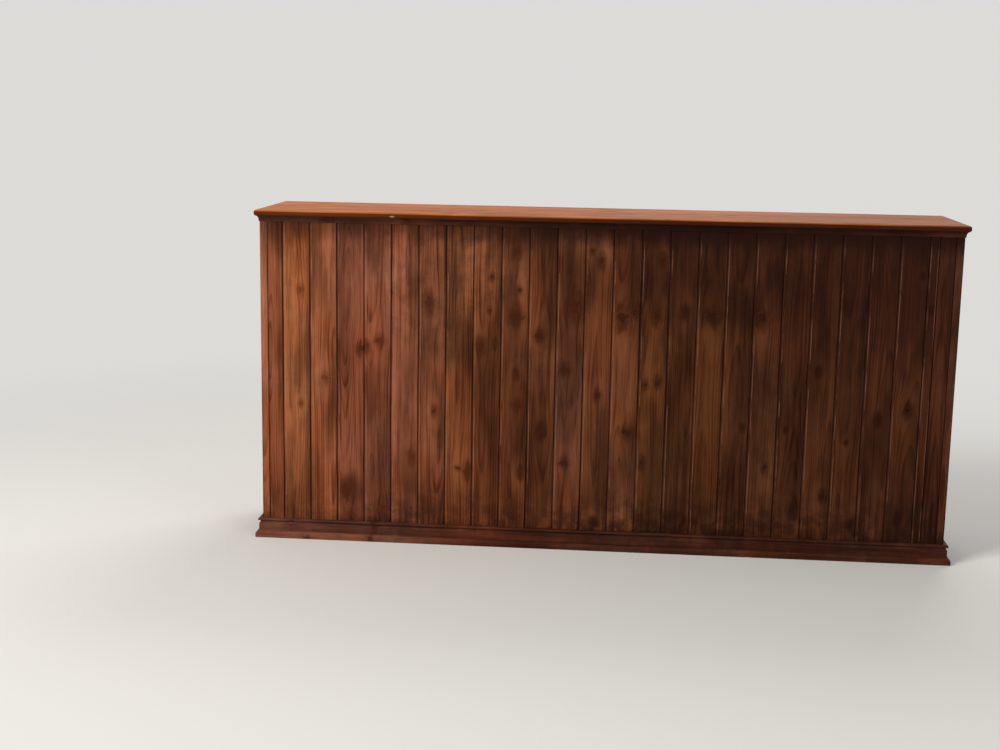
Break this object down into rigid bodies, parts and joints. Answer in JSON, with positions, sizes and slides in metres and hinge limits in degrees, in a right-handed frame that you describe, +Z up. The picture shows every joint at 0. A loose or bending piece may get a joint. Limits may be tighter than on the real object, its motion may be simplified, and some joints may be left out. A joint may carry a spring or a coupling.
{
  "type": "boarded timber bar counter",
  "caption": "Free-standing boarded timber bar counter with a moulded top, returned plinth and an open back with shelves.",
  "frame": {"origin": "on the floor under the middle of the counter's whole outline", "axes": "+X along the front from left to right, +Y from the boarded front to the open back, +Z up out of the top"},
  "size_m": [2.294, 0.44, 1.1],
  "materials": {
    "top_varnish": "gloss varnish over red-brown stained pine",
    "stained_boards": "dark stained knotty pine, satin",
    "stained_mouldings": "dark red-brown stained pine, satin",
    "carcass_pine": "sawn and planed softwood, bare",
    "shelf_pine": "planed softwood, clear sealed"
  },
  "bodies": {
    "root": {"counter_top": "top_varnish", "cove_front": "stained_mouldings", "cove_left_end": "stained_mouldings", "cove_right_end": "stained_mouldings", "front_boards_left": "stained_boards", "front_boards_middle": "stained_boards", "front_boards_right": "stained_boards", "front_bottom_rail": "carcass_pine", "front_middle_rail": "carcass_pine", "front_top_rail": "carcass_pine", "left_corner_strip": "stained_boards", "left_deck": "shelf_pine", "left_end_boards": "stained_boards", "left_end_bottom_rail": "carcass_pine", "left_end_middle_rail": "carcass_pine", "left_end_top_rail": "carcass_pine", "left_front_post": "carcass_pine", "left_partition": "shelf_pine", "left_partition_bearers": "carcass_pine", "left_rear_post": "carcass_pine", "left_shelf": "shelf_pine", "left_stile": "stained_boards", "middle_deck": "shelf_pine", "middle_shelf": "shelf_pine", "plinth_front": "stained_mouldings", "plinth_left_end": "stained_mouldings", "plinth_right_end": "stained_mouldings", "rear_toe_rail": "carcass_pine", "rear_top_rail": "carcass_pine", "right_corner_strip": "stained_boards", "right_deck": "shelf_pine", "right_end_boards": "stained_boards", "right_end_bottom_rail": "carcass_pine", "right_end_middle_rail": "carcass_pine", "right_end_top_rail": "carcass_pine", "right_front_post": "carcass_pine", "right_partition": "shelf_pine", "right_partition_bearers": "carcass_pine", "right_rear_post": "carcass_pine", "right_shelf": "shelf_pine", "right_stile": "stained_boards", "shoe_front": "stained_mouldings", "shoe_left_end": "stained_mouldings", "shoe_right_end": "stained_mouldings"}
  },
  "joints": []
}
